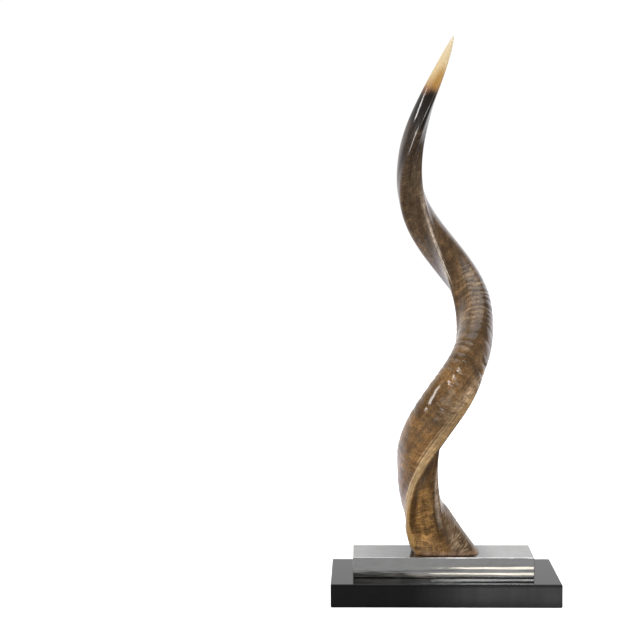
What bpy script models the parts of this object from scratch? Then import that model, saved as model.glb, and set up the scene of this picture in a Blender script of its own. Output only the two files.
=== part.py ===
# A kudu horn standing upright on a polished metal block and a glossy black slab.
# Metres and degrees. +Z is up and +Y points away from the viewer. The origin is the middle
# of the slab's underside.

import math

import bmesh
import bpy
from mathutils import Vector

# Stand
SLAB_SIZE = (0.330, 0.140, 0.034)
SLAB_EDGE_ROUND = 0.0018
BLOCK_SIZE = (0.262, 0.072, 0.030)
BLOCK_EDGE_ROUND = 0.0010
BLOCK_SHIFT_X = -0.002
EDGE_SEGMENTS = 3
TOUCH_GAP = 0.0003

# Course of the horn, told by u: 0 at the cut foot, 1 at the tip, even in height.
# Its middle winds round an upright axis, slowly at the foot and tip and fast between.
HORN_TIP_Z = 0.806
HORN_FOOT_Y = 0.002
COIL_RADIUS = 0.0438
COIL_WIDENING = 0.29
COIL_AXIS_X = 0.0129
COIL_BOW_X = -0.0166
COIL_LEAN_Y = 0.045
TIP_HOOK_X = 0.012
TIP_HOOK_POWER = 8
FOOT_ANGLE = 111
TURNS = 1.40
TURNS_EARLY = 0.25
TURNS_MIDDLE = 0.82
FOOT_LEVELLED_BELOW = 0.12

# Outline of the cut foot, a rectangle with well rounded corners, and how far up it is felt
FOOT_HALF_SIZE = (0.049, 0.0285)
FOOT_SHIFT_X = 0.005
FOOT_SQUARENESS = 3.8
FOOT_FELT_BELOW = 0.087
FOOT_FLARE_POWER = 1.1

# Thickness of the horn, as a half width before the keels are added
HALF_WIDTH = 0.029
TAPER_POWER = 0.64
TAPER_FULLNESS = 0.67
LAST_RING_U = 0.998

# Cross section, by the angle about the horn's middle: 0 is away from the coil's axis
OVAL = -0.06
THREE_SIDED = -0.035
FRONT_KEEL_ANGLE = 95
FRONT_KEEL_DRIFT = -29
FRONT_KEEL_FOOT_DRIFT = -21
FRONT_KEEL_FOOT_REACH = 0.12
FRONT_KEEL_HEIGHT = 0.25
FRONT_KEEL_TIP_SHARE = 0.5
INNER_KEEL_ANGLE = 169
INNER_KEEL_HEIGHT = 0.18
KEEL_WIDTH = 15
HOLLOW_DEPTH = 0.095
HOLLOW_WIDTH = 24

# Growth rings, low swells that fade out above the middle of the horn
RINGS_TO_TIP = 40
RING_RELIEF = 0.0006
RINGS_FADE_FROM = 0.40
RINGS_FADE_TO = 0.62

# Mesh of the horn
STATIONS_PER_RING = 4
RINGED_STATIONS = 98
SMOOTH_STATIONS = 24
HOLLOW_COLUMNS = 10
ROUND_COLUMNS = 24
COLUMN_BUNCHING = 0.55
SHARP_ANGLE = 40


def clear_scene():
    for obj in list(bpy.data.objects):
        bpy.data.objects.remove(obj, do_unlink=True)


def make_material(name, colour, roughness, metallic=0.0, coat=0.0):
    material = bpy.data.materials.new(name)
    material.use_nodes = True
    shader = material.node_tree.nodes["Principled BSDF"]
    shader.inputs["Base Color"].default_value = (*colour, 1.0)
    shader.inputs["Roughness"].default_value = roughness
    shader.inputs["Metallic"].default_value = metallic
    shader.inputs["Coat Weight"].default_value = coat
    material.diffuse_color = (*colour, 1.0)
    return material


# Stand


def add_rounded_box(name, size, centre, edge_round, material, collection):
    bpy.ops.mesh.primitive_cube_add(size=1.0, location=centre)
    box = bpy.context.active_object
    box.name = name
    box.data.name = name
    box.scale = size
    bpy.ops.object.transform_apply(location=False, rotation=False, scale=True)
    bevel = box.modifiers.new("Rounded edges", "BEVEL")
    bevel.width = edge_round
    bevel.segments = EDGE_SEGMENTS
    bevel.limit_method = "ANGLE"
    box.data.materials.append(material)
    box.data.shade_smooth()
    box.data.set_sharp_from_angle(angle=math.radians(SHARP_ANGLE))
    for old in list(box.users_collection):
        old.objects.unlink(box)
    collection.objects.link(box)
    return box


def slab_top():
    return SLAB_SIZE[2]


def block_top():
    return slab_top() + TOUCH_GAP + BLOCK_SIZE[2]


def foot_height():
    return block_top() + TOUCH_GAP


# Horn


def fade(value, start, end):
    share = min(max((value - start) / (end - start), 0.0), 1.0)
    return 1.0 - share * share * (3.0 - 2.0 * share)


def lobe(angle, peak, width):
    away = (angle - peak + 180.0) % 360.0 - 180.0
    return math.exp(-((away / width) ** 2))


def coil_angle(u):
    turns = TURNS * u
    turns += TURNS_EARLY * u * (1.0 - u)
    turns += TURNS_MIDDLE * u * (1.0 - u) * (2.0 * u - 1.0)
    return math.radians(FOOT_ANGLE) + 2.0 * math.pi * turns


def horn_middle(u):
    radius = COIL_RADIUS * (1.0 + COIL_WIDENING * u)
    angle = coil_angle(u)
    axis_x = COIL_AXIS_X + COIL_BOW_X * 4.0 * u * (1.0 - u) + TIP_HOOK_X * u**TIP_HOOK_POWER
    axis_y = HORN_FOOT_Y - COIL_RADIUS * math.sin(coil_angle(0.0)) + COIL_LEAN_Y * u
    height = foot_height() + (HORN_TIP_Z - foot_height()) * u
    return Vector((axis_x + radius * math.cos(angle), axis_y + radius * math.sin(angle), height))


def horn_directions(u):
    """The way along the horn, the way out from the coil's axis, and the way across both."""
    step = 0.0001
    along = (horn_middle(u + step) - horn_middle(u - step)).normalized()
    outward = Vector((math.cos(coil_angle(u)), math.sin(coil_angle(u)), 0.0))
    outward = (outward - along * outward.dot(along)).normalized()
    return along, outward, along.cross(outward)


def half_width(u):
    return HALF_WIDTH * (1.0 - u) ** TAPER_POWER * (1.0 + TAPER_FULLNESS * u)


def keel_angles(u):
    near_foot = math.exp(-u / FRONT_KEEL_FOOT_REACH)
    front = FRONT_KEEL_ANGLE + FRONT_KEEL_DRIFT * u + FRONT_KEEL_FOOT_DRIFT * near_foot
    return front, INNER_KEEL_ANGLE


def section_shape(u, angle):
    """Distance from the horn's middle to its surface, in half widths."""
    front, inner = keel_angles(u)
    front_height = FRONT_KEEL_HEIGHT * (1.0 - (1.0 - FRONT_KEEL_TIP_SHARE) * u)
    turn = math.radians(angle)
    shape = 1.0 + OVAL * math.cos(2.0 * turn) + THREE_SIDED * math.cos(3.0 * turn)
    shape += front_height * lobe(angle, front, KEEL_WIDTH)
    shape += INNER_KEEL_HEIGHT * lobe(angle, inner, KEEL_WIDTH)
    shape -= HOLLOW_DEPTH * lobe(angle, (front + inner) / 2.0, HOLLOW_WIDTH)
    return shape


def foot_offset(heading):
    """From the foot's middle to its outline, in the level plane, for a heading in radians."""
    half_x, half_y = FOOT_HALF_SIZE
    side_x = abs(math.cos(heading) / half_x) ** FOOT_SQUARENESS
    side_y = abs(math.sin(heading) / half_y) ** FOOT_SQUARENESS
    reach = (side_x + side_y) ** (-1.0 / FOOT_SQUARENESS)
    return Vector((FOOT_SHIFT_X + reach * math.cos(heading), reach * math.sin(heading), 0.0))


def ring_swell(u):
    wave = math.sin(2.0 * math.pi * RINGS_TO_TIP * u)
    return RING_RELIEF * wave * fade(u, RINGS_FADE_FROM, RINGS_FADE_TO)


def surface_point(u, angle):
    along, outward, across = horn_directions(u)
    reach = half_width(u) * section_shape(u, angle) + ring_swell(u)
    turn = math.radians(angle)
    offset = reach * (math.cos(turn) * outward + math.sin(turn) * across)
    # Near the foot a station is slid along the horn until it lies level, so the cut is flat
    levelled = fade(u, 0.0, FOOT_LEVELLED_BELOW)
    offset -= along * (levelled * offset.z / along.z)
    foot_share = max(1.0 - u / FOOT_FELT_BELOW, 0.0) ** FOOT_FLARE_POWER
    offset = offset.lerp(foot_offset(coil_angle(u) + turn), foot_share)
    return horn_middle(u) + offset


def column_angles(u):
    """Angles of the mesh's columns; two of them run along the keels' crests."""
    front, inner = keel_angles(u)
    angles = []
    for start, end, count in ((front, inner, HOLLOW_COLUMNS), (inner, front + 360.0, ROUND_COLUMNS)):
        for column in range(count):
            share = column / count
            share -= COLUMN_BUNCHING * math.sin(2.0 * math.pi * share) / (2.0 * math.pi)
            angles.append(start + (end - start) * share)
    return angles


def station_places():
    """Values of u from foot to tip: even where the rings are, closer towards the tip."""
    places = [station / (STATIONS_PER_RING * RINGS_TO_TIP) for station in range(RINGED_STATIONS)]
    first = RINGED_STATIONS / (STATIONS_PER_RING * RINGS_TO_TIP)
    for station in range(SMOOTH_STATIONS):
        share = station / (SMOOTH_STATIONS - 1)
        places.append(first + (LAST_RING_U - first) * (1.0 - (1.0 - share) ** 1.6))
    return places


def add_horn(name, material, collection):
    mesh = bpy.data.meshes.new(name)
    skin = bmesh.new()
    stations = []
    for u in station_places():
        stations.append([skin.verts.new(surface_point(u, angle)) for angle in column_angles(u)])
    tip = skin.verts.new(horn_middle(1.0))
    columns = HOLLOW_COLUMNS + ROUND_COLUMNS
    for lower, upper in zip(stations, stations[1:]):
        for column in range(columns):
            after = (column + 1) % columns
            skin.faces.new((lower[column], lower[after], upper[after], upper[column]))
    for column in range(columns):
        skin.faces.new((stations[-1][column], stations[-1][(column + 1) % columns], tip))
    skin.faces.new(list(reversed(stations[0])))
    bmesh.ops.recalc_face_normals(skin, faces=skin.faces)
    skin.to_mesh(mesh)
    skin.free()
    mesh.materials.append(material)
    mesh.shade_smooth()
    mesh.set_sharp_from_angle(angle=math.radians(SHARP_ANGLE))
    horn = bpy.data.objects.new(name, mesh)
    collection.objects.link(horn)
    return horn


def main():
    clear_scene()
    collection = bpy.data.collections.new("Kudu horn")
    bpy.context.scene.collection.children.link(collection)

    gloss_black = make_material("Gloss black", (0.012, 0.012, 0.014), 0.08, coat=0.5)
    polished_metal = make_material("Polished metal", (0.62, 0.61, 0.60), 0.14, metallic=1.0)
    polished_horn = make_material("Polished horn", (0.16, 0.10, 0.055), 0.25, coat=0.4)

    slab_centre = (0.0, 0.0, SLAB_SIZE[2] / 2.0)
    block_centre = (BLOCK_SHIFT_X, 0.0, block_top() - BLOCK_SIZE[2] / 2.0)
    add_rounded_box("base_slab", SLAB_SIZE, slab_centre, SLAB_EDGE_ROUND, gloss_black, collection)
    add_rounded_box("metal_block", BLOCK_SIZE, block_centre, BLOCK_EDGE_ROUND, polished_metal, collection)
    add_horn("horn", polished_horn, collection)


main()
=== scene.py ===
import math
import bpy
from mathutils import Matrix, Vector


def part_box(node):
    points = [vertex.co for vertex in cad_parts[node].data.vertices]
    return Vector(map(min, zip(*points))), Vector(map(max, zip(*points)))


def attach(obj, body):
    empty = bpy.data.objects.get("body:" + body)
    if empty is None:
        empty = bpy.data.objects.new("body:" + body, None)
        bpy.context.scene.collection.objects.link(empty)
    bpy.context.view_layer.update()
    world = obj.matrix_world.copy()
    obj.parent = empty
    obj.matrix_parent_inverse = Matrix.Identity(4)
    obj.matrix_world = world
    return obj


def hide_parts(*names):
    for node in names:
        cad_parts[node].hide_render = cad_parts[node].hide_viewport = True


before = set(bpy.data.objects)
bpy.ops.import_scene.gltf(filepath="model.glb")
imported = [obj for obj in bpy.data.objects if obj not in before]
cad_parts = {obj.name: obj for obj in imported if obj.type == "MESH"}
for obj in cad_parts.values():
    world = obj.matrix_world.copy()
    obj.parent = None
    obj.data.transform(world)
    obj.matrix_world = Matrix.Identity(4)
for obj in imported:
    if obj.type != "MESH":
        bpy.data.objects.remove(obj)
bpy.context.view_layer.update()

from types import SimpleNamespace

import bpy
import numpy as np
from mathutils import Matrix, Vector, noise

print("frame loaded")

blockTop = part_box("metal_block")[1][2]
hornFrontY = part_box("horn")[0][1]
touchGap = 0.0003    # between the block's top and the horn's foot


# small helpers for shader trees

def newMaterial(name):
    material = bpy.data.materials.new(name)
    material.use_nodes = True
    tree = material.node_tree
    shader = tree.nodes["Principled BSDF"]
    return material, tree, shader


def mathNode(tree, operation, first, second=None, clamp=False):
    node = tree.nodes.new("ShaderNodeMath")
    node.operation = operation
    node.use_clamp = clamp
    for socket, value in zip(node.inputs, (first, second)):
        if value is None:
            continue
        if isinstance(value, (int, float)):
            socket.default_value = value
        else:
            tree.links.new(value, socket)
    return node.outputs[0]


def times(tree, first, second):
    return mathNode(tree, "MULTIPLY", first, second)


def plus(tree, first, second):
    return mathNode(tree, "ADD", first, second)


def scaled(tree, value, factor, offset):
    return plus(tree, times(tree, value, factor), offset)


def splitVector(tree, vector):
    node = tree.nodes.new("ShaderNodeSeparateXYZ")
    tree.links.new(vector, node.inputs[0])
    return node.outputs


def surfacePlace(tree):
    # where a point lies in the scene, and which way its surface faces
    geometry = tree.nodes.new("ShaderNodeNewGeometry").outputs
    parts = splitVector(tree, geometry["Position"])
    return geometry["Position"], parts["X"], parts["Z"], splitVector(tree, geometry["Normal"])


def rampNode(tree, factor, stops):
    # stops is a list of (place, colour), a colour being a grey number or (r, g, b)
    node = tree.nodes.new("ShaderNodeValToRGB")
    ramp = node.color_ramp
    while len(ramp.elements) < len(stops):
        ramp.elements.new(0.5)
    for element, (place, colour) in zip(ramp.elements, stops):
        element.position = place
        if isinstance(colour, (int, float)):
            colour = (colour, colour, colour)
        element.color = (*colour, 1.0)
    tree.links.new(factor, node.inputs["Fac"])
    return node.outputs["Color"]


def noiseNode(tree, vector, stretch, scale, detail=3.0, roughness=0.55, distortion=0.0):
    mapping = tree.nodes.new("ShaderNodeMapping")
    mapping.inputs["Scale"].default_value = stretch
    tree.links.new(vector, mapping.inputs["Vector"])
    node = tree.nodes.new("ShaderNodeTexNoise")
    node.inputs["Scale"].default_value = scale
    node.inputs["Detail"].default_value = detail
    node.inputs["Roughness"].default_value = roughness
    node.inputs["Distortion"].default_value = distortion
    tree.links.new(mapping.outputs["Vector"], node.inputs["Vector"])
    return node.outputs["Fac"]


def mixColour(tree, factor, first, second, blend="MIX"):
    node = tree.nodes.new("ShaderNodeMix")
    node.data_type = "RGBA"
    node.blend_type = blend
    for socket, value in ((node.inputs[0], factor), (node.inputs[6], first), (node.inputs[7], second)):
        if isinstance(value, (int, float)):
            socket.default_value = value
        elif isinstance(value, tuple):
            socket.default_value = (*value, 1.0)
        else:
            tree.links.new(value, socket)
    return node.outputs[2]


def attributeNode(tree, name, output="Fac"):
    node = tree.nodes.new("ShaderNodeAttribute")
    node.attribute_name = name
    return node.outputs[output]


def addBump(tree, shader, height, strength, distance):
    bump = tree.nodes.new("ShaderNodeBump")
    bump.inputs["Strength"].default_value = strength
    bump.inputs["Distance"].default_value = distance
    tree.links.new(height, bump.inputs["Height"])
    tree.links.new(bump.outputs["Normal"], shader.inputs["Normal"])


def coverNode(name, material):
    # gives one of the frame's own solids a material of its own
    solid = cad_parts[name]
    solid.data.materials.clear()
    solid.data.materials.append(material)


# the horn's course and section, the same rules as the solid under it
# u runs from 0 at the cut foot to 1 at the tip, even in height

hornShape = {
    "footZ": blockTop + touchGap,
    "tipZ": 0.806,
    "footY": 0.002,
    "coilRadius": 0.0438,
    "coilWidening": 0.29,
    "coilAxisX": 0.0129,
    "coilBowX": -0.0166,
    "coilLeanY": 0.045,
    "tipHookX": 0.012,
    "tipHookPower": 8,
    "footAngle": 111,
    "turns": 1.40,
    "turnsEarly": 0.25,
    "turnsMiddle": 0.82,
    "levelledBelow": 0.12,
    "footHalfSize": (0.049, 0.0285),
    "footShiftX": 0.005,
    "footSquareness": 3.8,
    "footFeltBelow": 0.087,
    "footFlarePower": 1.1,
    "halfWidth": 0.029,
    "taperPower": 0.64,
    "taperFullness": 0.67,
    "lastRing": 0.998,
    "oval": -0.06,
    "threeSided": -0.035,
    "frontKeelAngle": 95,
    "frontKeelDrift": -29,
    "frontKeelFootDrift": -21,
    "frontKeelFootReach": 0.12,
    "frontKeelHeight": 0.25,
    "frontKeelTipShare": 0.5,
    "innerKeelAngle": 169,
    "innerKeelHeight": 0.18,
    "keelWidth": 15,
    "hollowDepth": 0.095,
    "hollowWidth": 24,
}


def fade(value, start, end):
    share = np.clip((value - start) / (end - start), 0.0, 1.0)
    return 1.0 - share * share * (3.0 - 2.0 * share)


def angleAway(angle, peak):
    return (angle - peak + 180.0) % 360.0 - 180.0


def lobe(angle, peak, width):
    return np.exp(-((angleAway(angle, peak) / width) ** 2))


def coilAngle(u):
    turns = hornShape["turns"] * u
    turns = turns + hornShape["turnsEarly"] * u * (1 - u)
    turns = turns + hornShape["turnsMiddle"] * u * (1 - u) * (2 * u - 1)
    return math.radians(hornShape["footAngle"]) + 2 * math.pi * turns


def hornMiddle(u):
    s = hornShape
    radius = s["coilRadius"] * (1 + s["coilWidening"] * u)
    angle = coilAngle(u)
    axisX = s["coilAxisX"] + s["coilBowX"] * 4 * u * (1 - u) + s["tipHookX"] * u ** s["tipHookPower"]
    axisY = s["footY"] - s["coilRadius"] * math.sin(math.radians(s["footAngle"])) + s["coilLeanY"] * u
    height = s["footZ"] + (s["tipZ"] - s["footZ"]) * u
    return np.stack([axisX + radius * np.cos(angle), axisY + radius * np.sin(angle), height], axis=-1)


def unit(vectors):
    return vectors / np.linalg.norm(vectors, axis=-1, keepdims=True)


def hornDirections(u):
    step = 0.0001
    along = unit(hornMiddle(u + step) - hornMiddle(u - step))
    angle = coilAngle(u)
    outward = np.stack([np.cos(angle), np.sin(angle), np.zeros_like(angle)], axis=-1)
    outward = unit(outward - along * np.sum(outward * along, axis=-1, keepdims=True))
    return along, outward, np.cross(along, outward)


def halfWidth(u):
    s = hornShape
    return s["halfWidth"] * (1 - u) ** s["taperPower"] * (1 + s["taperFullness"] * u)


def frontKeelAngle(u):
    s = hornShape
    nearFoot = np.exp(-u / s["frontKeelFootReach"])
    return s["frontKeelAngle"] + s["frontKeelDrift"] * u + s["frontKeelFootDrift"] * nearFoot


def sectionShape(u, angle):
    s = hornShape
    front = frontKeelAngle(u)
    frontHeight = s["frontKeelHeight"] * (1 - (1 - s["frontKeelTipShare"]) * u)
    turn = np.radians(angle)
    shape = 1 + s["oval"] * np.cos(2 * turn) + s["threeSided"] * np.cos(3 * turn)
    shape = shape + frontHeight * lobe(angle, front, s["keelWidth"])
    shape = shape + s["innerKeelHeight"] * lobe(angle, s["innerKeelAngle"], s["keelWidth"])
    return shape - s["hollowDepth"] * lobe(angle, (front + s["innerKeelAngle"]) / 2, s["hollowWidth"])


def footOffset(heading):
    halfX, halfY = hornShape["footHalfSize"]
    power = hornShape["footSquareness"]
    sideX = np.abs(np.cos(heading) / halfX) ** power
    sideY = np.abs(np.sin(heading) / halfY) ** power
    reach = (sideX + sideY) ** (-1 / power)
    x = hornShape["footShiftX"] + reach * np.cos(heading)
    return np.stack([x, reach * np.sin(heading), np.zeros_like(x)], axis=-1)


def surfacePoints(u, angle, relief):
    # u, angle and relief are grids of stations by columns
    along, outward, across = hornDirections(u)
    reach = (halfWidth(u) * sectionShape(u, angle) + relief)[..., None]
    turn = np.radians(angle)
    offset = reach * (np.cos(turn)[..., None] * outward + np.sin(turn)[..., None] * across)
    levelled = fade(u, 0, hornShape["levelledBelow"])
    offset = offset - along * (levelled * offset[..., 2] / along[..., 2])[..., None]
    footShare = np.clip(1 - u / hornShape["footFeltBelow"], 0, 1) ** hornShape["footFlarePower"]
    foot = footOffset(coilAngle(u) + turn)
    # relief goes on top of the cut foot too
    footOut = unit(foot) * relief[..., None]
    offset = offset * (1 - footShare[..., None]) + (foot + footOut) * footShare[..., None]
    return hornMiddle(u) + offset


# horn: growth rings, keels, the worn foot
# a pair such as (0.40, 0.60) is a stretch of u over which something comes or goes

hornSkin = {
    "stations": 800,
    "keelColumns": 46,             # close columns over the front keel's flange
    "keelColumnsFrom": -40,        # degrees from the front keel's crest
    "keelColumnsTo": 14,
    "roundColumns": 74,
    "grainRadius": 0.03,           # the noises are read on a tube of this radius
    "keelGrainStep": 0.0006,       # metres for each degree from the front keel's crest
    "hollowFrom": (4, 18),         # degrees from the front keel
    "hollowTo": (-14, 0),          # degrees from the inner keel
    "thinBelow": 0.02,             # relief weakens where the horn is thinner than this
    "sharpAngle": 50,
    "boxMargin": 0.00002,
    "seed": 11,
}

ringShape = {
    "spacing": (0.019, 0.009),     # at the foot and from halfway up, metres
    "spacingSpread": 0.45,
    "overrun": 0.06,
    "height": 0.0005,
    "groove": 0.00016,
    "grooveWidth": 0.09,           # share of the spacing
    "sweep": 0.005,                # how far a ring wanders along the horn
    "sweepSize": 0.018,
    "sweepTilt": 0.6,
    "sweepTiltTowards": 1.2,
    "footSweep": 0.00055,          # metres for each degree past the inner keel
    "footSweepFrom": 4,
    "footSweepMost": 75,
    "footSweepGoes": (0.05, 0.15),
    "unevenSize": 0.03,
    "comes": (0.01, 0.09),
    "goes": (0.40, 0.60),
    "lowShare": 0.40,              # how strong they are below the next stretch
    "strongerOver": (0.22, 0.33),
    "noneAt": -4,                  # degrees from the front keel, on which there are none
    "noneWidth": 14.0,
    "weakerInHollow": 0.6,
    "weakerPastInner": 0.9,
    "weakerPastInnerAt": 12,       # degrees from the inner keel
    "weakerPastInnerWidth": 28.0,
    "weakerPastInnerOver": (0.40, 0.47),
    "toneComes": (0.16, 0.26),     # each layer has a tone of its own
    "toneGoes": (0.48, 0.60),
    "edgeComes": (0.04, 0.12),     # and a darker edge
}

wrinkles = {
    "height": 0.00008,
    "size": 0.0040,
    "across": (0.30, 0.30, 1.0),
    "fewerOver": (0.40, 0.55),
    "noneOver": (0.55, 0.80),
    "lumpHeight": 0.0009,
    "lumpSize": 0.026,
    "lumpGoes": (0.25, 0.50),
}

keelShape = {
    "seamAt": -11.5,               # degrees from the front keel's crest, near the foot
    "seamSwing": -18.0,
    "seamSwingsFrom": 0.15,
    "seamSwingsOver": 0.165,
    "lip": 0.0006,
    "lipWidth": 1.5,               # degrees
    "besideLip": 0.0007,
    "besideLipAt": 3.2,
    "besideLipWidth": 2.0,
    "flangeGoes": (0.34, 0.48),
    "undercut": 0.0016,
    "undercutAt": 17,
    "undercutWidth": 8.0,
    "undercutComes": (0.0, 0.045),
    "undercutGoes": (0.20, 0.34),
}

footWear = {
    "ledge": 0.0020,
    "ledgeFrom": (6, 22),          # degrees from the inner keel
    "ledgeTo": (60, 110),
    "ledgeComes": (0.0, 0.07),
    "ledgeGoes": (0.078, 0.090),
    "rim": (0.002, 0.012),
    "pits": 0.0022,
    "pitSize": 0.006,
    "chip": 0.0026,
    "chipAt": 8,
    "chipWidth": 10.0,
    "facetFrom": (4, 16),          # the worn side's colour, degrees from the inner keel
    "facetTo": (90, 120),
    "facetGoes": (0.075, 0.095),
    "rimColour": (0.001, 0.013),
}


def growthEdges(length):
    # places of the growth lines along the horn, unevenly spaced and closer with height
    draw = np.random.default_rng(hornSkin["seed"])
    wide, narrow = ringShape["spacing"]
    edges = [-ringShape["overrun"]]
    while edges[-1] < length + ringShape["overrun"]:
        reach = min(max(edges[-1] / (0.5 * length), 0.0), 1.0)
        spread = 1 + ringShape["spacingSpread"] * draw.uniform(-1, 1)
        edges.append(edges[-1] + (wide + (narrow - wide) * reach) * spread)
    return np.array(edges)


def softNoise(points, size):
    flat = (points / size).reshape(-1, 3)
    values = np.array([noise.noise(Vector(point)) for point in flat])
    return values.reshape(points.shape[:-1])


def between(value, low, high):
    # 0 below low, 1 above high, smooth in the middle
    share = np.clip((value - low) / (high - low), 0.0, 1.0)
    return share * share * (3.0 - 2.0 * share)


def bell(value, middle, width, power=2):
    return np.exp(-((value - middle) / width) ** power)


def seamAngle(u):
    # the thin lip along the flange swings away from the keel's crest higher up
    k = keelShape
    reach = np.clip((u - k["seamSwingsFrom"]) / k["seamSwingsOver"], 0.0, 2.0)
    return k["seamAt"] + k["seamSwing"] * reach ** 1.5


def columnOffsets():
    s = hornSkin
    close = np.linspace(s["keelColumnsFrom"], s["keelColumnsTo"], s["keelColumns"], endpoint=False)
    rest = np.linspace(s["keelColumnsTo"], s["keelColumnsFrom"] + 360, s["roundColumns"], endpoint=False)
    return np.concatenate([close, rest])


def hornGrid():
    # stations by columns over the whole skin
    stations = hornSkin["stations"]
    u1 = hornShape["lastRing"] * np.linspace(0, 1, stations)
    steps = np.linalg.norm(np.diff(hornMiddle(u1), axis=0), axis=1)
    distance1 = np.concatenate([[0.0], np.cumsum(steps)])
    # even steps along the horn rather than even in height
    even = np.linspace(0, distance1[-1], stations)
    grid = SimpleNamespace(length=even[-1])
    grid.u, offset = np.meshgrid(np.interp(even, distance1, u1), columnOffsets(), indexing="ij")
    front = frontKeelAngle(grid.u)
    grid.angle = front + offset
    grid.turn = np.radians(grid.angle)
    grid.distance = np.repeat(even[:, None], grid.u.shape[1], axis=1)
    grid.fromFront = angleAway(grid.angle, front)
    grid.fromInner = angleAway(grid.angle, hornShape["innerKeelAngle"])
    grid.fromSeam = grid.fromFront - seamAngle(grid.u)
    inside = between(grid.fromFront, *hornSkin["hollowFrom"])
    grid.inHollow = inside * (1 - between(grid.fromInner, *hornSkin["hollowTo"]))
    grid.offKeel = 1 - bell(grid.fromFront, ringShape["noneAt"], ringShape["noneWidth"], 4)
    return grid


def woundPoints(grid, place):
    radius = hornSkin["grainRadius"]
    return np.stack([np.cos(grid.turn) * radius, np.sin(grid.turn) * radius, place], axis=-1)


def addRings(grid):
    # rings are swept: they bend at the keels and run steeply over the outer side of the foot
    r = ringShape
    longer = np.array([1.0, 1.0, 0.6])
    pastInner = np.clip(grid.fromInner - r["footSweepFrom"], 0, r["footSweepMost"])
    wander = softNoise(woundPoints(grid, grid.distance) * longer, r["sweepSize"])
    sweep = r["sweep"] * (wander + r["sweepTilt"] * np.cos(grid.turn - r["sweepTiltTowards"]))
    sweep = sweep - (1 - between(grid.u, *r["footSweepGoes"])) * r["footSweep"] * pastInner
    grid.ringPlace = grid.distance + sweep
    grid.grain = woundPoints(grid, grid.ringPlace)

    grid.edges = growthEdges(grid.length)
    grid.phase = np.interp(grid.ringPlace, grid.edges, np.arange(len(grid.edges)))
    layer = grid.phase % 1.0
    grid.ringsThere = 1 - between(grid.u, *r["goes"])
    grid.unevenly = np.clip(1.0 + 1.5 * softNoise(grid.grain + 3.0, r["unevenSize"]), 0.1, 2.0)
    grid.groove = bell(np.minimum(layer, 1 - layer), 0, r["grooveWidth"])
    swell = np.sin(np.pi * layer) ** 1.2 - 0.5
    relief = grid.ringsThere * grid.unevenly * (r["height"] * swell - r["groove"] * grid.groove)
    stronger = r["lowShare"] + (1 - r["lowShare"]) * between(grid.u, *r["strongerOver"])
    relief = relief * (1 - r["weakerInHollow"] * grid.inHollow) * stronger * between(grid.u, *r["comes"])
    weaker = bell(grid.fromInner, r["weakerPastInnerAt"], r["weakerPastInnerWidth"])
    weaker = weaker * between(grid.u, *r["weakerPastInnerOver"])
    return relief * grid.offKeel * (1 - r["weakerPastInner"] * weaker)


def addWrinkles(grid):
    # fine wrinkles across the horn and long soft lumps
    w = wrinkles
    across = grid.grain * np.array(w["across"])
    grid.wrinkle = softNoise(across + 5.0, w["size"]) + 0.5 * softNoise(across + 8.0, w["size"] / 2)
    there = 1 - 0.85 * between(grid.u, *w["fewerOver"]) - 0.15 * between(grid.u, *w["noneOver"])
    lump = softNoise(grid.grain * np.array([1.0, 1.0, 0.6]) + 9.0, w["lumpSize"])
    lumpThere = 1 - between(grid.u, *w["lumpGoes"])
    return w["height"] * grid.wrinkle * there + w["lumpHeight"] * lump * lumpThere


def addFlange(grid):
    # the front keel is a flange with a thin lip and a groove beside it, undercut by the hollow
    k = keelShape
    grid.flangeThere = 1 - between(grid.u, *k["flangeGoes"])
    grid.lip = bell(grid.fromSeam, 0, k["lipWidth"])
    besideLip = bell(grid.fromSeam, k["besideLipAt"], k["besideLipWidth"])
    undercut = bell(grid.fromFront, k["undercutAt"], k["undercutWidth"])
    undercut = undercut * (1 - between(grid.u, *k["undercutGoes"])) * between(grid.u, *k["undercutComes"])
    relief = grid.flangeThere * (k["lip"] * grid.lip - k["besideLip"] * besideLip)
    return relief - k["undercut"] * undercut


def wearFoot(grid):
    # layers stand proud past the inner keel, and the foot's rim is worn
    w = footWear
    ledge = between(grid.fromInner, *w["ledgeFrom"]) * (1 - between(grid.fromInner, *w["ledgeTo"]))
    ledge = ledge * (1 - between(grid.u + 0.004 * grid.wrinkle, *w["ledgeGoes"]))
    ledge = ledge * between(grid.u, *w["ledgeComes"])
    pits = softNoise(grid.grain * np.array([1.0, 1.0, 0.0]) + 2.0, w["pitSize"])
    pits = np.clip(pits - 0.05, 0, 1)
    chip = bell(grid.fromFront, w["chipAt"], w["chipWidth"])
    rimWear = 1 - between(grid.u, *w["rim"])
    return w["ledge"] * ledge - rimWear * (w["pits"] * pits + w["chip"] * chip)


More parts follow.
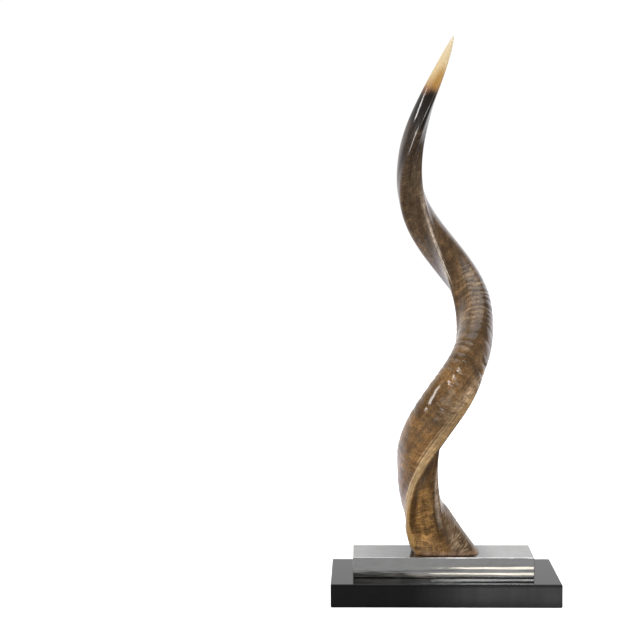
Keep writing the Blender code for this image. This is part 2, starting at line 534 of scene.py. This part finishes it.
# where each colour lies: measured round the horn, or from a keel's crest, or from the lip's seam
# middle and width are degrees, comes and goes are stretches of u
hornMarks = {
    "tipTongue": {"measured": "round", "middle": 48, "width": 38,
                  "comes": (0.86, 0.89), "strength": 0.013},
    "paleEdge": {"measured": "front", "middle": -42, "width": 16,
                 "comes": (0.27, 0.33), "goes": (0.36, 0.42)},
    "upperLine": {"measured": "seam", "middle": -6.5, "width": 1.4,
                  "comes": (0.20, 0.23), "goes": (0.28, 0.32), "strength": 0.7},
    # painted shade along the hollow's edge next to the inner keel
    "innerEdgeShade": {"measured": "inner", "middle": -13, "width": 8,
                  "comes": (0.01, 0.04), "goes": (0.13, 0.18)},
    # the inner keel's pale crest, kept stronger low down as a painted highlight
    "innerCrestAndSheen": {"measured": "inner", "middle": -4, "width": 7,
                   "comes": (0.50, 0.56), "goes": (0.70, 0.76)},
    # painted sheen along the inner keel near the foot
    "lowCrestSheen": {"measured": "inner", "middle": -6, "width": 4,
                 "comes": (0.045, 0.075), "goes": (0.15, 0.20), "strength": 0.75},
    "darkSide": {"measured": "round", "middle": 42, "width": 26,
                 "comes": (0.66, 0.78), "goes": (0.86, 0.89)},
    "darkBack": {"measured": "round", "middle": 282, "drift": -380, "width": 30,
                 "comes": (0.34, 0.40), "goes": (0.49, 0.55)},
    "paleFibres": {"measured": "round", "middle": 128, "width": 24,
                   "comes": (0.70, 0.75), "goes": (0.82, 0.835)},
    "ringBands": {"measured": "round", "middle": 250, "width": 34, "power": 4,
                  "comes": (0.43, 0.46), "goes": (0.53, 0.57)},
    "amberCore": {"measured": "round", "middle": 48, "width": 42,
                  "comes": (0.898, 0.913), "goes": (0.925, 0.955)},
}

# the flange's pale colour, and the painted shade in the hollow beside it: a broad band, a dark line along
# the flange's edge and the hollow's lower part
flangeMarks = {
    "edgeHeights": (0.07, 0.15, 0.22, 0.30),
    "edgeAngles": (4.0, 1.5, -2.0, -4.0),
    "footSlide": 16.0,             # near the foot the marks slide round towards the front
    "footSlideGoes": 0.075,
    "weakerOver": (0.19, 0.27),
    "shadeAt": 11,
    "shadeWidth": 5.5,
    "shadeComes": (0.02, 0.06),
    "shadeGoes": (0.19, 0.26),
    "lineAt": 4,
    "lineWidth": 3.0,
    "lineComes": (0.002, 0.012),
    "lineGoes": (0.30, 0.36),
    "hollowComes": (0.13, 0.18),
    "hollowGoes": (0.30, 0.40),
}

# the hollow is golden near the foot and darker again above the middle
hollowMarks = {
    "goldenGoes": (0.13, 0.19),
    "darkComes": (0.44, 0.54),
    "darkGoes": (0.80, 0.84),
    # above this stretch the crest's painted highlight gives way to its plain pale colour
    "crestWeaker": (0.59, 0.64),
}

# two lines cross the horn under the black part
crossLines = {
    "at": 0.838,
    "sag": 0.020,
    "sagOver": (115, 170),         # degrees round the horn
    "begins": (45, 62),
    "ends": (158, 170),
    "paleBelow": 0.0085,
    "width": 0.0030,
}


def mark(grid, name):
    m = hornMarks[name]
    if m["measured"] == "round":
        away = angleAway(grid.angle, m["middle"] + m.get("drift", 0) * (grid.u - 0.5))
    else:
        measured = {"front": grid.fromFront, "inner": grid.fromInner, "seam": grid.fromSeam}
        away = measured[m["measured"]] - m["middle"]
    patch = m.get("strength", 1.0) * bell(away, 0, m["width"], m.get("power", 2))
    patch = patch * between(grid.u, *m["comes"])
    if "goes" in m:
        patch = patch * (1 - between(grid.u, *m["goes"]))
    return patch


def keep(mesh, name, values, last=0.0):
    # a number for each corner of the mesh, last being the tip's own
    attribute = mesh.attributes.new(name, "FLOAT", "POINT")
    attribute.data.foreach_set("value", np.append(values, last).astype(np.float32))


def keepPlaces(mesh, name, places):
    attribute = mesh.attributes.new(name, "FLOAT_VECTOR", "POINT")
    values = np.concatenate([places.reshape(-1, 3), places[-1, :1]])
    attribute.data.foreach_set("vector", values.astype(np.float32).ravel())


def keepFlangeMarks(mesh, grid):
    f, u = flangeMarks, grid.u
    footSlide = f["footSlide"] * np.clip(1 - u / f["footSlideGoes"], 0, 1) ** 1.2
    edge = np.interp(u, f["edgeHeights"], f["edgeAngles"]) + footSlide
    flange = between(grid.fromSeam, -1.5, 1.0) * (1 - between(grid.fromFront - edge, -2, 2))
    keep(mesh, "flange", flange * grid.flangeThere * (1 - 0.40 * between(u, *f["weakerOver"])))
    keep(mesh, "lip", np.maximum(grid.lip * grid.flangeThere, mark(grid, "upperLine")))
    # painted shade in the hollow beside the flange
    shade = bell(grid.fromFront - footSlide, f["shadeAt"], f["shadeWidth"] + 0.15 * footSlide)
    shade = shade * (1 - between(u, *f["shadeGoes"])) * (0.35 + 0.65 * between(u, *f["shadeComes"]))
    line = 0.9 * bell(grid.fromFront - edge, f["lineAt"], f["lineWidth"] + 0.05 * footSlide)
    line = line * between(u, *f["lineComes"]) * (1 - between(u, *f["lineGoes"]))
    hollow = grid.inHollow * between(u, *f["hollowComes"]) * (1 - between(u, *f["hollowGoes"]))
    keep(mesh, "flangeShade", np.maximum(np.maximum(shade, line), hollow))


def keepCrossLines(mesh, grid):
    c = crossLines
    place = grid.u - c["at"] + c["sag"] * between(grid.angle, *c["sagOver"])
    here = between(grid.angle, *c["begins"]) * (1 - between(grid.angle, *c["ends"]))
    keep(mesh, "darkCross", bell(place, 0, c["width"]) * here)
    keep(mesh, "paleCross", bell(place, -c["paleBelow"], c["width"]) * here)


def keepRingMarks(mesh, grid):
    u = grid.u
    draw = np.random.default_rng(hornSkin["seed"] + 1)
    tones = draw.uniform(-1, 1, len(grid.edges) + 1)
    middlePhase = np.clip(grid.phase - 0.5, 0, None)
    low = middlePhase.astype(int)
    high = np.minimum(low + 1, len(grid.edges))
    tone = tones[low] + (tones[high] - tones[low]) * between(middlePhase % 1.0, 0.25, 0.75)
    there = between(u, *ringShape["toneComes"]) * (1 - between(u, *ringShape["toneGoes"]))
    keep(mesh, "layerTone", tone * there * np.clip(grid.unevenly, 0, 1))
    edge = grid.groove * grid.ringsThere * grid.unevenly * grid.offKeel
    keep(mesh, "ringEdge", edge * between(u, *ringShape["edgeComes"]))
    keep(mesh, "ringPlace", grid.ringPlace, grid.ringPlace[-1, 0])


def keepMarks(mesh, grid):
    u = grid.u
    keep(mesh, "along", u - mark(grid, "tipTongue"), 1.0)
    for name in ("paleEdge", "innerEdgeShade", "darkSide", "darkBack", "paleFibres", "ringBands", "amberCore"):
        keep(mesh, name, mark(grid, name))
    h, w = hollowMarks, footWear
    # the inner keel's pale crest with a painted highlight in its lower stretch, plus a painted sheen near
    # the foot
    crest = mark(grid, "innerCrestAndSheen") * (1 - 0.35 * between(u, *h["crestWeaker"]))
    keep(mesh, "innerCrestAndSheen", crest + mark(grid, "lowCrestSheen"))
    darkHollow = grid.inHollow * between(u, *h["darkComes"]) * (1 - between(u, *h["darkGoes"]))
    keep(mesh, "inHollow", darkHollow)
    keep(mesh, "golden", grid.inHollow * (1 - between(u, *h["goldenGoes"])))
    facet = between(grid.fromInner, *w["facetFrom"]) * (1 - between(grid.fromInner, *w["facetTo"]))
    keep(mesh, "facet", facet * (1 - between(u, *w["facetGoes"])))
    keep(mesh, "wornRim", 1 - between(u, *w["rimColour"]))
    keepFlangeMarks(mesh, grid)
    keepCrossLines(mesh, grid)
    keepRingMarks(mesh, grid)
    keepPlaces(mesh, "grain", grid.grain)
    sideways = grid.fromFront * hornSkin["keelGrainStep"]
    keepPlaces(mesh, "keelGrain", np.stack([sideways, np.zeros_like(u), grid.distance], axis=-1))


def skinMesh(points):
    rows, columns = points.shape[:2]
    index = np.arange(rows * columns).reshape(rows, columns)
    nextColumn = np.roll(index, -1, axis=1)
    quads = np.stack([index[:-1], nextColumn[:-1], nextColumn[1:], index[1:]], axis=-1).reshape(-1, 4)
    tipIndex = rows * columns
    tipFaces = [(int(a), int(b), tipIndex) for a, b in zip(index[-1], nextColumn[-1])]
    footFace = [int(i) for i in reversed(index[0])]
    mesh = bpy.data.meshes.new("horn_skin")
    vertices = np.concatenate([points.reshape(-1, 3), hornMiddle(np.array([1.0]))])
    mesh.from_pydata(vertices.tolist(), [], quads.tolist() + tipFaces + [footFace])
    mesh.update()
    mesh.shade_smooth()
    mesh.set_sharp_from_angle(angle=math.radians(hornSkin["sharpAngle"]))
    return mesh


def buildHorn():
    grid = hornGrid()
    relief = addRings(grid) + addWrinkles(grid) + addFlange(grid) + wearFoot(grid)
    thin = np.clip(halfWidth(grid.u) / hornSkin["thinBelow"], 0, 1)
    points = surfacePoints(grid.u, grid.angle, relief * thin)
    # nothing stands out past the solid's front
    points[..., 1] = np.maximum(points[..., 1], hornFrontY + hornSkin["boxMargin"])
    mesh = skinMesh(points)
    keepMarks(mesh, grid)

    horn = bpy.data.objects.new("horn_skin", mesh)
    bpy.context.scene.collection.objects.link(horn)
    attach(horn, "root")
    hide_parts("horn")
    print("horn built,", len(mesh.polygons), "faces")
    return horn


hornFinish = {
    "roughness": 0.40,
    "specular": 0.10,
    "coat": 0.9,
    "tipCoat": 0.35,
    "coatRoughness": 0.10,
    "fineBump": 0.35,
    "fineBumpDepth": 0.0004,
    "fibreWander": 0.022,          # how far the colours' ends fray along the horn
    "bandSpacing": 0.0088,
    "bandWander": 7.0,
    "layerContrast": 0.30,
    "hollowDarkening": -0.22,
    "ringEdgeStrength": 0.35,
    "facetWorn": 0.75,
    "goldenDark": (0.120, 0.056, 0.014),
    "goldenLight": (0.225, 0.122, 0.038),
    "shadeAndPitColour": (0.042, 0.020, 0.005),
    "shadeLight": (0.090, 0.047, 0.015),
    "flangeColour": (0.450, 0.305, 0.150),
    "flangeGroove": (0.190, 0.118, 0.050),
    "flangeLow": (0.290, 0.165, 0.050),
    "paleEdge": (0.330, 0.235, 0.150),
    "knotColour": (0.060, 0.034, 0.014),
    "lipColour": (0.560, 0.410, 0.240),
    "crestAndSheenColour": (0.440, 0.360, 0.285),
    "sideColour": (0.012, 0.008, 0.006),
    "backColour": (0.048, 0.028, 0.013),
    "paleColour": (0.105, 0.074, 0.046),
    "facetColour": (0.120, 0.076, 0.044),
    # painted highlights on the worn side
    "facetStrokeHighlights": (0.330, 0.240, 0.150),
    "amberColour": (0.300, 0.158, 0.036),
    "rimColour": (0.300, 0.185, 0.120),
    "ringEdgeColour": (0.075, 0.043, 0.020),
    "bandLight": (0.240, 0.165, 0.098),
    "bandDark": (0.085, 0.050, 0.026),
    "alongStops": [
        (0.00, (0.122, 0.063, 0.020)),
        (0.22, (0.124, 0.063, 0.020)),
        (0.32, (0.118, 0.062, 0.021)),
        (0.40, (0.098, 0.054, 0.022)),
        (0.50, (0.080, 0.045, 0.020)),
        (0.56, (0.074, 0.042, 0.019)),
        (0.62, (0.078, 0.046, 0.023)),
        (0.72, (0.077, 0.047, 0.024)),
        (0.80, (0.043, 0.026, 0.014)),
        (0.835, (0.038, 0.023, 0.013)),
        (0.845, (0.010, 0.006, 0.004)),
        (0.885, (0.010, 0.006, 0.003)),
        (0.898, (0.170, 0.085, 0.045)),
        (0.908, (0.370, 0.235, 0.115)),
        (0.920, (0.460, 0.332, 0.170)),
        (0.940, (0.510, 0.395, 0.230)),
        (0.965, (0.525, 0.425, 0.270)),
        (1.00, (0.580, 0.500, 0.375)),
    ],
}


def brokenUp(tree, name, least, most, noiseValue, low=0.35, high=0.65):
    # a mark broken up by a noise
    strength = rampNode(tree, noiseValue, [(low, least), (high, most)])
    return times(tree, attributeNode(tree, name), strength)


def flangeTone(tree, along):
    # fine lines run along the flange, with dark knots, and it is browner near the foot
    f = hornFinish
    keelGrain = attributeNode(tree, "keelGrain", "Vector")
    lines = noiseNode(tree, keelGrain, (1, 1, 0.05), 900, detail=2)
    knots = noiseNode(tree, keelGrain, (1, 1, 0.5), 190, detail=1)
    light = rampNode(tree, lines, [(0.36, 0.0), (0.62, 1.0)])
    tone = mixColour(tree, light, f["flangeGroove"], f["flangeColour"])
    tone = mixColour(tree, rampNode(tree, knots, [(0.26, 0.75), (0.34, 0.0)]), tone, f["knotColour"])
    tone = mixColour(tree, rampNode(tree, along, [(0.10, 0.80), (0.16, 0.0)]), tone, f["flangeLow"])
    darker = mixColour(tree, 0.5, tone, f["flangeGroove"])
    return mixColour(tree, rampNode(tree, along, [(0.10, 0.0), (0.17, 0.30)]), tone, darker)


def finishHorn(horn):
    material, tree, shader = newMaterial("Polished horn")
    f = hornFinish
    grain = attributeNode(tree, "grain", "Vector")
    along = attributeNode(tree, "along")

    acrossFine = noiseNode(tree, grain, (0.30, 0.30, 1.0), 480, detail=3, roughness=0.6)
    acrossWide = noiseNode(tree, grain, (0.35, 0.35, 1.0), 150, detail=3, roughness=0.6, distortion=0.2)
    mottle = noiseNode(tree, grain, (1, 1, 1), 75, detail=4, roughness=0.6, distortion=0.2)
    blotches = noiseNode(tree, grain, (1, 1, 0.5), 34, detail=2, distortion=0.3)
    speckle = noiseNode(tree, grain, (1, 1, 1), 430, detail=3, roughness=0.65)
    fibres = noiseNode(tree, grain, (1, 1, 0.06), 330, detail=4, roughness=0.6)
    pits = noiseNode(tree, grain, (1, 1, 1), 620, detail=1)

    wander = times(tree, mathNode(tree, "SUBTRACT", fibres, 0.5), f["fibreWander"])
    colour = rampNode(tree, plus(tree, along, wander), f["alongStops"])

    # marks are laid on in order: name, least and most strength, the noise that breaks it up, colour
    wavy = rampNode(tree, mixColour(tree, 0.5, acrossWide, acrossFine), [(0.36, 0.0), (0.62, 1.0)])
    golden = mixColour(tree, wavy, f["goldenDark"], f["goldenLight"])
    shadeTone = rampNode(tree, fibres, [(0.40, 0.0), (0.62, 1.0)])
    shade = mixColour(tree, shadeTone, f["shadeAndPitColour"], f["shadeLight"])
    for name, least, most, breaks, tint in (
        ("golden", 0.85, 1.0, mottle, golden),
        # painted shade beside the flange
        ("flangeShade", 0.75, 1.0, mottle, shade),
        ("facet", 0.80, 1.0, mottle, f["facetColour"]),
        ("paleEdge", 0.2, 0.75, mottle, f["paleEdge"]),
        ("flange", 0.80, 1.0, mottle, flangeTone(tree, along)),
        ("amberCore", 0.9, 0.9, mottle, f["amberColour"]),
        # painted shade along the hollow's edge by the inner keel
        ("innerEdgeShade", 0.55, 1.0, acrossWide, f["shadeAndPitColour"]),
        # the inner keel's pale crest, with a painted highlight and a painted sheen
        ("innerCrestAndSheen", 0.45, 1.0, fibres, f["crestAndSheenColour"]),
        ("darkSide", 0.55, 1.0, mottle, f["sideColour"]),
        ("darkBack", 0.45, 0.85, mottle, f["backColour"]),
        ("darkCross", 0.5, 0.9, acrossWide, f["sideColour"]),
        ("paleCross", 0.2, 0.7, acrossWide, f["paleColour"]),
    ):
        colour = mixColour(tree, brokenUp(tree, name, least, most, breaks), colour, tint)
    paleFibres = brokenUp(tree, "paleFibres", 0.0, 0.8, fibres, 0.42, 0.60)
    colour = mixColour(tree, paleFibres, colour, f["paleColour"])

    # light and dark bands follow the rings for a short stretch
    ringTurn = times(tree, attributeNode(tree, "ringPlace"), 2 * math.pi / f["bandSpacing"])
    wave = mathNode(tree, "SINE", plus(tree, ringTurn, times(tree, mottle, f["bandWander"])))
    bandColour = mixColour(tree, scaled(tree, wave, 0.5, 0.5), f["bandDark"], f["bandLight"])
    colour = mixColour(tree, brokenUp(tree, "ringBands", 0.2, 0.75, acrossWide), colour, bandColour)
    for name, strength in (("layerTone", f["layerContrast"]), ("inHollow", f["hollowDarkening"])):
        tone = scaled(tree, attributeNode(tree, name), strength, 1.0)
        colour = mixColour(tree, 1.0, colour, tone, "MULTIPLY")

    # mottling, wrinkles and speckle: hardly any on the flange, almost none on the tip
    body = rampNode(tree, along, [(0.0, 1.0), (0.82, 1.0), (0.845, 0.20), (0.89, 0.05)])
    body = times(tree, body, scaled(tree, attributeNode(tree, "flange"), -0.75, 1.0))
    for noiseValue, low, high, amount in (
        (blotches, 0.78, 1.22, 1.0),
        (mottle, 0.74, 1.26, 0.9),
        (acrossWide, 0.76, 1.26, 0.9),
        (acrossFine, 0.80, 1.24, 0.8),
        (speckle, 0.68, 1.34, 0.9),
        (fibres, 0.76, 1.26, 0.9),
    ):
        tone = rampNode(tree, noiseValue, [(0.36, low), (0.64, high)])
        colour = mixColour(tree, times(tree, body, amount), colour, tone, "MULTIPLY")
    # the pits take the same dark colour as the painted shade
    pitted = times(tree, body, rampNode(tree, pits, [(0.28, 0.40), (0.36, 0.0)]))
    colour = mixColour(tree, pitted, colour, f["shadeAndPitColour"])

    ringEdge = attributeNode(tree, "ringEdge")
    ringEdge = mathNode(tree, "MULTIPLY", ringEdge, f["ringEdgeStrength"], clamp=True)
    colour = mixColour(tree, ringEdge, colour, f["ringEdgeColour"])
    # painted highlights: pale strokes across the worn side, along its growth lines
    strokeHighlights = rampNode(tree, acrossFine, [(0.54, 0.0), (0.62, 0.90)])
    facet = attributeNode(tree, "facet")
    colour = mixColour(tree, times(tree, facet, strokeHighlights), colour, f["facetStrokeHighlights"])
    colour = mixColour(tree, brokenUp(tree, "lip", 0.2, 0.85, acrossWide), colour, f["lipColour"])
    wornRim = brokenUp(tree, "wornRim", 0.0, 0.8, mottle, 0.42, 0.60)
    colour = mixColour(tree, wornRim, colour, f["rimColour"])

    tree.links.new(colour, shader.inputs["Base Color"])
    shader.inputs["Roughness"].default_value = f["roughness"]
    shader.inputs["Specular IOR Level"].default_value = f["specular"]
    # the pale tip is less glossy than the black band under it, and the foot's worn side is duller too
    coat = rampNode(tree, along, [(0.880, f["coat"]), (0.905, f["tipCoat"])])
    polished = scaled(tree, facet, -f["facetWorn"], 1.0)
    tree.links.new(times(tree, coat, polished), shader.inputs["Coat Weight"])
    shader.inputs["Coat Roughness"].default_value = f["coatRoughness"]
    shader.inputs["IOR"].default_value = 1.5

    fine = times(tree, plus(tree, acrossFine, times(tree, speckle, 0.5)), body)
    addBump(tree, shader, fine, f["fineBump"], f["fineBumpDepth"])
    horn.data.materials.append(material)


# stand: the polished block and the glossy slab keep their solids

blockFinish = {
    "colour": (0.60, 0.60, 0.60),
    "grimeColour": (0.48, 0.475, 0.46),
    "speckColour": (0.30, 0.29, 0.27),
    "edgeTint": (0.80, 0.80, 0.80),
    "roughness": 0.10,
    "grimeRoughness": 0.10,
    "ripple": 0.0004,
    # two long rolls run along the lower front, which leans a little
    "rollSpacing": 0.0095,
    "rollDepth": 0.00016,
    "rollPhase": -0.75,
    "rollDrift": 2.0,
    "rollStrength": 1.5,
    "lean": 0.050,
    "leanBelow": 0.053,
    # stops on sideways place (0.5 is the middle) and on height in tenths of a metre
    "rollsSideways": [(0.28, 0.05), (0.43, 0.53), (0.85, 1.0)],
    "rollsLowDown": [(0.47, 1.0), (0.55, 0.0)],
    "rollsAboveFoot": [(0.350, 0.3), (0.420, 1.0)],
    # painted shade on the top, darkest under the horn's foot
    "topShadeSideways": [(0.06, 0.78), (0.28, 0.50), (0.43, 0.32), (0.62, 0.42), (0.76, 0.90)],
}


def finishBlock():
    material, tree, shader = newMaterial("Polished metal")
    f = blockFinish
    place, x, z, facing = surfacePlace(tree)
    sideways = scaled(tree, x, 3.5, 0.5)
    tenths = times(tree, z, 10.0)

    drift = noiseNode(tree, place, (7.0, 1.0, 30.0), 1.0, detail=2)
    turns = scaled(tree, z, 2 * math.pi / f["rollSpacing"], f["rollPhase"])
    rolls = mathNode(tree, "COSINE", plus(tree, turns, times(tree, drift, f["rollDrift"])))
    rolls = times(tree, rolls, f["rollDepth"])
    rolls = times(tree, rolls, rampNode(tree, tenths, f["rollsAboveFoot"]))
    leaning = mathNode(tree, "MINIMUM", mathNode(tree, "SUBTRACT", z, f["leanBelow"]), 0.0)
    leaning = times(tree, leaning, -f["lean"])
    there = times(tree, rampNode(tree, sideways, f["rollsSideways"]), f["rollStrength"])
    there = times(tree, there, rampNode(tree, tenths, f["rollsLowDown"]))
    ripples = noiseNode(tree, place, (12.0, 40.0, 60.0), 1.0, detail=3)
    height = times(tree, plus(tree, rolls, leaning), there)
    addBump(tree, shader, plus(tree, height, times(tree, ripples, f["ripple"])), 1.0, 1.0)

    grime = noiseNode(tree, place, (1, 1, 3), 55, detail=5)
    specks = noiseNode(tree, place, (1, 1, 1), 700, detail=2)
    grimy = rampNode(tree, grime, [(0.35, 0.0), (0.75, 0.5)])
    colour = mixColour(tree, grimy, f["colour"], f["grimeColour"])
    colour = mixColour(tree, rampNode(tree, specks, [(0.62, 0.0), (0.72, 0.25)]), colour, f["speckColour"])
    # painted shade: the top is darker under the horn and beside it
    upward = rampNode(tree, facing["Z"], [(0.6, 0.0), (0.95, 1.0)])
    shadedTop = mixColour(tree, 1.0, colour, rampNode(tree, sideways, f["topShadeSideways"]), "MULTIPLY")
    tree.links.new(mixColour(tree, upward, colour, shadedTop), shader.inputs["Base Color"])
    shader.inputs["Metallic"].default_value = 1.0
    shader.inputs["Specular Tint"].default_value = (*f["edgeTint"], 1.0)
    smooth, rough = f["roughness"], f["roughness"] + f["grimeRoughness"]
    tree.links.new(rampNode(tree, grime, [(0.3, smooth), (0.8, rough)]), shader.inputs["Roughness"])
    coverNode("metal_block", material)


slabFinish = {
    "colour": (0.001, 0.001, 0.0012),
    "smudgeAndReflectionColour": (0.050, 0.050, 0.052),
    "roughness": 0.06,
    "dustRoughness": 0.08,
    "ior": 1.32,
    # the front face carries a painted reflection that grows towards its right end, broken up by smudges
    # and wiping marks
    # stops on sideways place (0.5 is the middle) and on height in twenty-fifths of a metre
    "smudgeAndReflectionSideways": [(0.36, 0.08), (0.66, 1.0)],
    "smudgeAndReflectionUpwards": [(0.02, 0.45), (0.35, 1.0), (0.70, 1.0), (0.82, 0.25)],
}


def finishSlab():
    material, tree, shader = newMaterial("Gloss black")
    f = slabFinish
    place, x, z, facing = surfacePlace(tree)
    marks = noiseNode(tree, place, (5, 1, 22), 1.0, detail=4, roughness=0.5)
    smears = noiseNode(tree, place, (60, 1, 8), 1.0, detail=4)
    # painted reflection with smudges: the front face's colour turns paler towards its right end
    smudgesAndReflection = rampNode(tree, scaled(tree, x, 3.0, 0.5), f["smudgeAndReflectionSideways"])
    for value, stops in (
        (times(tree, z, 25.0), f["smudgeAndReflectionUpwards"]),
        (times(tree, facing["Y"], -1.0), [(0.5, 0.0), (0.9, 1.0)]),
        (marks, [(0.25, 0.55), (0.70, 1.0)]),
        (smears, [(0.30, 0.75), (0.70, 1.0)]),
    ):
        smudgesAndReflection = times(tree, smudgesAndReflection, rampNode(tree, value, stops))
    tree.links.new(mixColour(tree, smudgesAndReflection, f["colour"], f["smudgeAndReflectionColour"]), shader.inputs["Base Color"])
    dust = noiseNode(tree, place, (1, 1, 1), 40, detail=5)
    smooth, rough = f["roughness"], f["roughness"] + f["dustRoughness"]
    tree.links.new(rampNode(tree, dust, [(0.35, smooth), (0.75, rough)]), shader.inputs["Roughness"])
    shader.inputs["IOR"].default_value = f["ior"]
    coverNode("base_slab", material)


# studio

studio = {
    "floorSize": 12.0,
    "floorColour": (0.92, 0.92, 0.92),
    "floorGlow": 0.55,
    "backLevel": 1.03,
    "sideLevel": 0.34,
    "frontLevel": 0.14,
    "tableLevel": 0.40,
    "belowLeftLevel": 0.85,
    "belowRightLevel": 0.05,
    "overhead": (2.0, 2.0, 2.0),
    "windows": [
        # way, where its edge fades out and where it is full, as cosines, colour
        ((-0.70, 0.62, -0.36), 0.87, 0.975, (1.5, 1.45, 1.55)),
        ((0.70, 0.64, 0.24), 0.87, 0.975, (1.6, 1.6, 1.7)),
        ((0.77, 0.60, -0.04), 0.970, 0.992, (1.4, 1.4, 1.5)),
    ],
}


def buildFloor():
    bpy.ops.mesh.primitive_plane_add(size=studio["floorSize"], location=(0, 0, 0))
    floor = bpy.context.active_object
    floor.name = "floor"
    material, tree, shader = newMaterial("Pale floor")
    shader.inputs["Base Color"].default_value = (*studio["floorColour"], 1.0)
    shader.inputs["Roughness"].default_value = 0.9
    shader.inputs["Specular IOR Level"].default_value = 0.1
    shader.inputs["Emission Color"].default_value = (1, 1, 1, 1)
    shader.inputs["Emission Strength"].default_value = studio["floorGlow"]
    material.cycles.emission_sampling = "NONE"
    floor.data.materials.append(material)
    floor.visible_glossy = False


def buildStudio():
    buildFloor()
    world = bpy.data.worlds.new("Studio")
    world.use_nodes = True
    tree = world.node_tree
    background = tree.nodes["Background"]
    where = tree.nodes.new("ShaderNodeTexCoord").outputs["Generated"]
    ways = splitVector(tree, where)
    toRight, toBack, upwards = ways["X"], ways["Y"], ways["Z"]
    downward = times(tree, upwards, -1.0)
    # the white wraps further round on the left, and the right darkens sooner below
    halved = plus(tree, scaled(tree, toBack, 0.5, 0.5), times(tree, toRight, -0.06))
    lowered = plus(tree, downward, times(tree, toRight, 0.08))
    above = rampNode(tree, halved, [
        (0.42, studio["frontLevel"]),
        (0.56, studio["sideLevel"]),
        (0.74, studio["backLevel"]),
    ])
    belowBack = rampNode(tree, scaled(tree, toRight, 0.5, 0.5), [
        (0.25, studio["belowLeftLevel"]),
        (0.55, studio["belowRightLevel"]),
    ])
    belowFront = rampNode(tree, downward, [
        (0.00, studio["frontLevel"]),
        (0.12, studio["tableLevel"]),
        (0.34, studio["tableLevel"]),
        (0.50, studio["belowRightLevel"]),
    ])
    back = mixColour(tree, rampNode(tree, lowered, [(0.24, 0.0), (0.36, 1.0)]), above, belowBack)
    front = mixColour(tree, rampNode(tree, downward, [(0.0, 0.0), (0.02, 1.0)]), above, belowFront)
    level = mixColour(tree, rampNode(tree, halved, [(0.36, 0.0), (0.50, 1.0)]), front, back)
    overhead = rampNode(tree, upwards, [(0.78, 0.0), (0.90, 1.0)])
    level = mixColour(tree, overhead, level, studio["overhead"])
    # windows behind on both sides rim the horn
    for way, edge, core, colour in studio["windows"]:
        towards = tree.nodes.new("ShaderNodeVectorMath")
        towards.operation = "DOT_PRODUCT"
        tree.links.new(where, towards.inputs[0])
        towards.inputs[1].default_value = Vector(way).normalized()
        inWindow = rampNode(tree, towards.outputs["Value"], [(edge, 0.0), (core, 1.0)])
        level = mixColour(tree, inWindow, level, colour)
    tree.links.new(level, background.inputs["Color"])
    background.inputs["Strength"].default_value = 1.0
    bpy.context.scene.world = world


studioLights = {
    # azimuth from the viewer's side with + to the right, elevation, distance, width, height, watts, colour
    "frontCardStrip": (9, 10.0, 1.8, 0.37, 0.34, 1.7, (1.0, 1.0, 1.0)),
    "leftStrip": (-68, -46, 0.446, 0.035, 0.24, 0.55, (1.0, 1.0, 1.0)),
    "keySoftbox": (-46, 2, 1.8, 0.22, 0.59, 6, (1.0, 1.0, 1.0)),
    "lowKeyStrip": (-45, 9.5, 0.65, 0.15, 0.26, 1.6, (1.0, 1.0, 1.0)),
    "nearStrip": (-1, 14, 0.65, 0.07, 0.14, 0.5, (1.0, 1.0, 1.0)),
    "lowCardStrip": (3, -5.9, 1.8, 1.30, 0.39, 2.9, (1.0, 0.93, 0.80)),
    "topSoftbox": (-15, 68, 2.2, 1.8, 1.8, 36, (1.0, 1.0, 1.0)),
}
aimHeight = 0.38
lampAims = {"leftStrip": 1.12}    # this one aims high, so that only the tip sees it
highlightsOnly = ("leftStrip", "lowKeyStrip", "nearStrip")    # these leave no soft light


def addLights():
    for name, (azimuth, elevation, distance, width, height, watts, colour) in studioLights.items():
        aim = Vector((0.0, 0.0, lampAims.get(name, aimHeight)))
        side, rise = math.radians(azimuth), math.radians(elevation)
        away = Vector((math.sin(side) * math.cos(rise), -math.cos(side) * math.cos(rise), math.sin(rise)))
        data = bpy.data.lights.new(name, "AREA")
        data.shape = "RECTANGLE"
        data.size = width
        data.size_y = height
        data.energy = watts
        data.color = colour
        lamp = bpy.data.objects.new(name, data)
        lamp.location = aim + away * distance
        lamp.rotation_euler = away.to_track_quat("Z", "Y").to_euler()
        lamp.visible_camera = False
        lamp.visible_glossy = "Strip" in name    # only the strips leave highlights
        lamp.visible_diffuse = name not in highlightsOnly
        bpy.context.scene.collection.objects.link(lamp)


cameraSetup = {
    "place": (-0.1195, -1.9583, 0.5835),
    "yaw": 1.752,
    "pitch": 5.159,
    "roll": -0.4,
    "lens": 76.14,
}


def addCamera():
    c = cameraSetup
    yaw, pitch, roll = (math.radians(c[key]) for key in ("yaw", "pitch", "roll"))
    ahead = Vector((-math.sin(yaw) * math.cos(pitch), math.cos(yaw) * math.cos(pitch), -math.sin(pitch)))
    right = Vector((math.cos(yaw), math.sin(yaw), 0.0))
    up = right.cross(ahead)
    tiltedRight = right * math.cos(roll) + up * math.sin(roll)
    tiltedUp = up * math.cos(roll) - right * math.sin(roll)
    data = bpy.data.cameras.new("camera")
    data.lens = c["lens"]
    data.sensor_width = 36
    camera = bpy.data.objects.new("camera", data)
    turned = Matrix((tiltedRight, tiltedUp, -ahead)).transposed()
    camera.matrix_world = Matrix.Translation(Vector(c["place"])) @ turned.to_4x4()
    bpy.context.scene.collection.objects.link(camera)
    bpy.context.scene.camera = camera


addCamera()
buildStudio()
addLights()
print("studio ready")

horn = buildHorn()
finishHorn(horn)
finishBlock()
finishSlab()
print("finishes set")

bpy.context.scene.view_settings.view_transform = "Standard"
